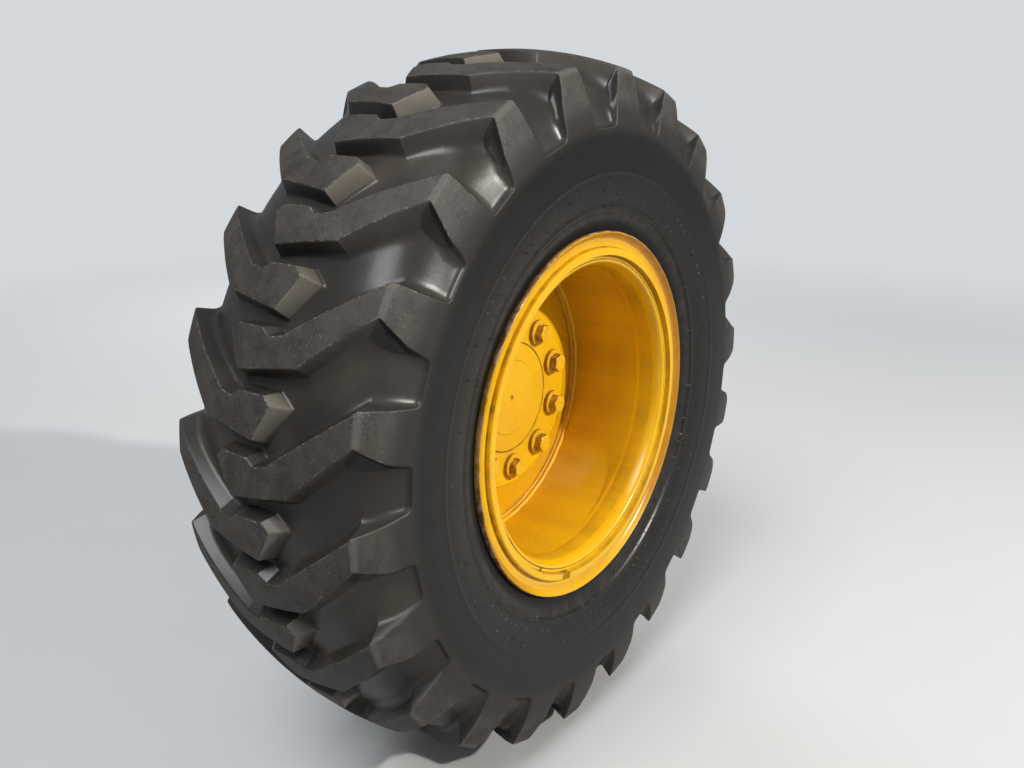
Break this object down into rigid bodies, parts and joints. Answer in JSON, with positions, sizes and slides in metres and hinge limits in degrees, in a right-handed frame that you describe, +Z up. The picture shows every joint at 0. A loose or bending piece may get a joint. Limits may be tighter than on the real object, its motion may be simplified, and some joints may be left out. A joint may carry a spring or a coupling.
{
  "type": "motor grader rear wheel end with bar-lug tyre and spindle housing",
  "caption": "Driven rear wheel end of a motor grader: bar-lug tyre on a five-piece rim with welded disc, bolted to an axle shaft in a spindle housing.",
  "frame": {"origin": "centre of the spindle housing's mounting face, on the axle line, where it bolts to the tandem case", "axes": "+Y along the axle towards the machine's centre, out of the mounting face; -Y is outboard; +Z is up; -X is the machine's forward direction"},
  "size_m": [1.3476, 0.6275, 1.3476],
  "materials": {
    "tyre_rubber": "satin moulded rubber, dusty on the lug faces",
    "rim_paint": "gloss yellow enamel, brushed on thick",
    "ring_paint": "gloss yellow enamel, chipped and rusty at the edges",
    "hub_paint": "gloss yellow enamel over a turned face",
    "bolt_paint": "worn yellow enamel over zinc plate",
    "housing_paint": "yellow enamel over rough casting, dusty",
    "seal_iron": "dull with an oily film",
    "bearing_steel": "ground and lightly oiled",
    "fitting_steel": "zinc plated",
    "seal_rubber": "matte",
    "valve_brass": "dull"
  },
  "bodies": {
    "housing": {"spindle_housing": "housing_paint", "chamber_cover": "housing_paint", "cover_bolts": "bolt_paint", "face_seal": "seal_iron", "outboard_bearing": "bearing_steel", "inboard_bearing": "bearing_steel", "brake_port": "fitting_steel", "bleed_screw": "fitting_steel"},
    "wheel": {"axle_shaft": "hub_paint", "shaft_nut": "bearing_steel", "wheel_disc": "rim_paint", "wheel_washers": "bolt_paint", "wheel_bolts": "bolt_paint", "rim_base": "rim_paint", "back_flange": "ring_paint", "front_flange": "ring_paint", "bead_seat_band": "ring_paint", "lock_ring": "ring_paint", "o_ring": "seal_rubber", "valve_stem": "valve_brass", "tyre": "tyre_rubber"}
  },
  "joints": [
    {"name": "wheel_spin", "type": "hinge", "parent": "housing", "child": "wheel", "pos_m": [0, -0.3, 0], "axis": [0, -1, 0], "continuous": true}
  ]
}
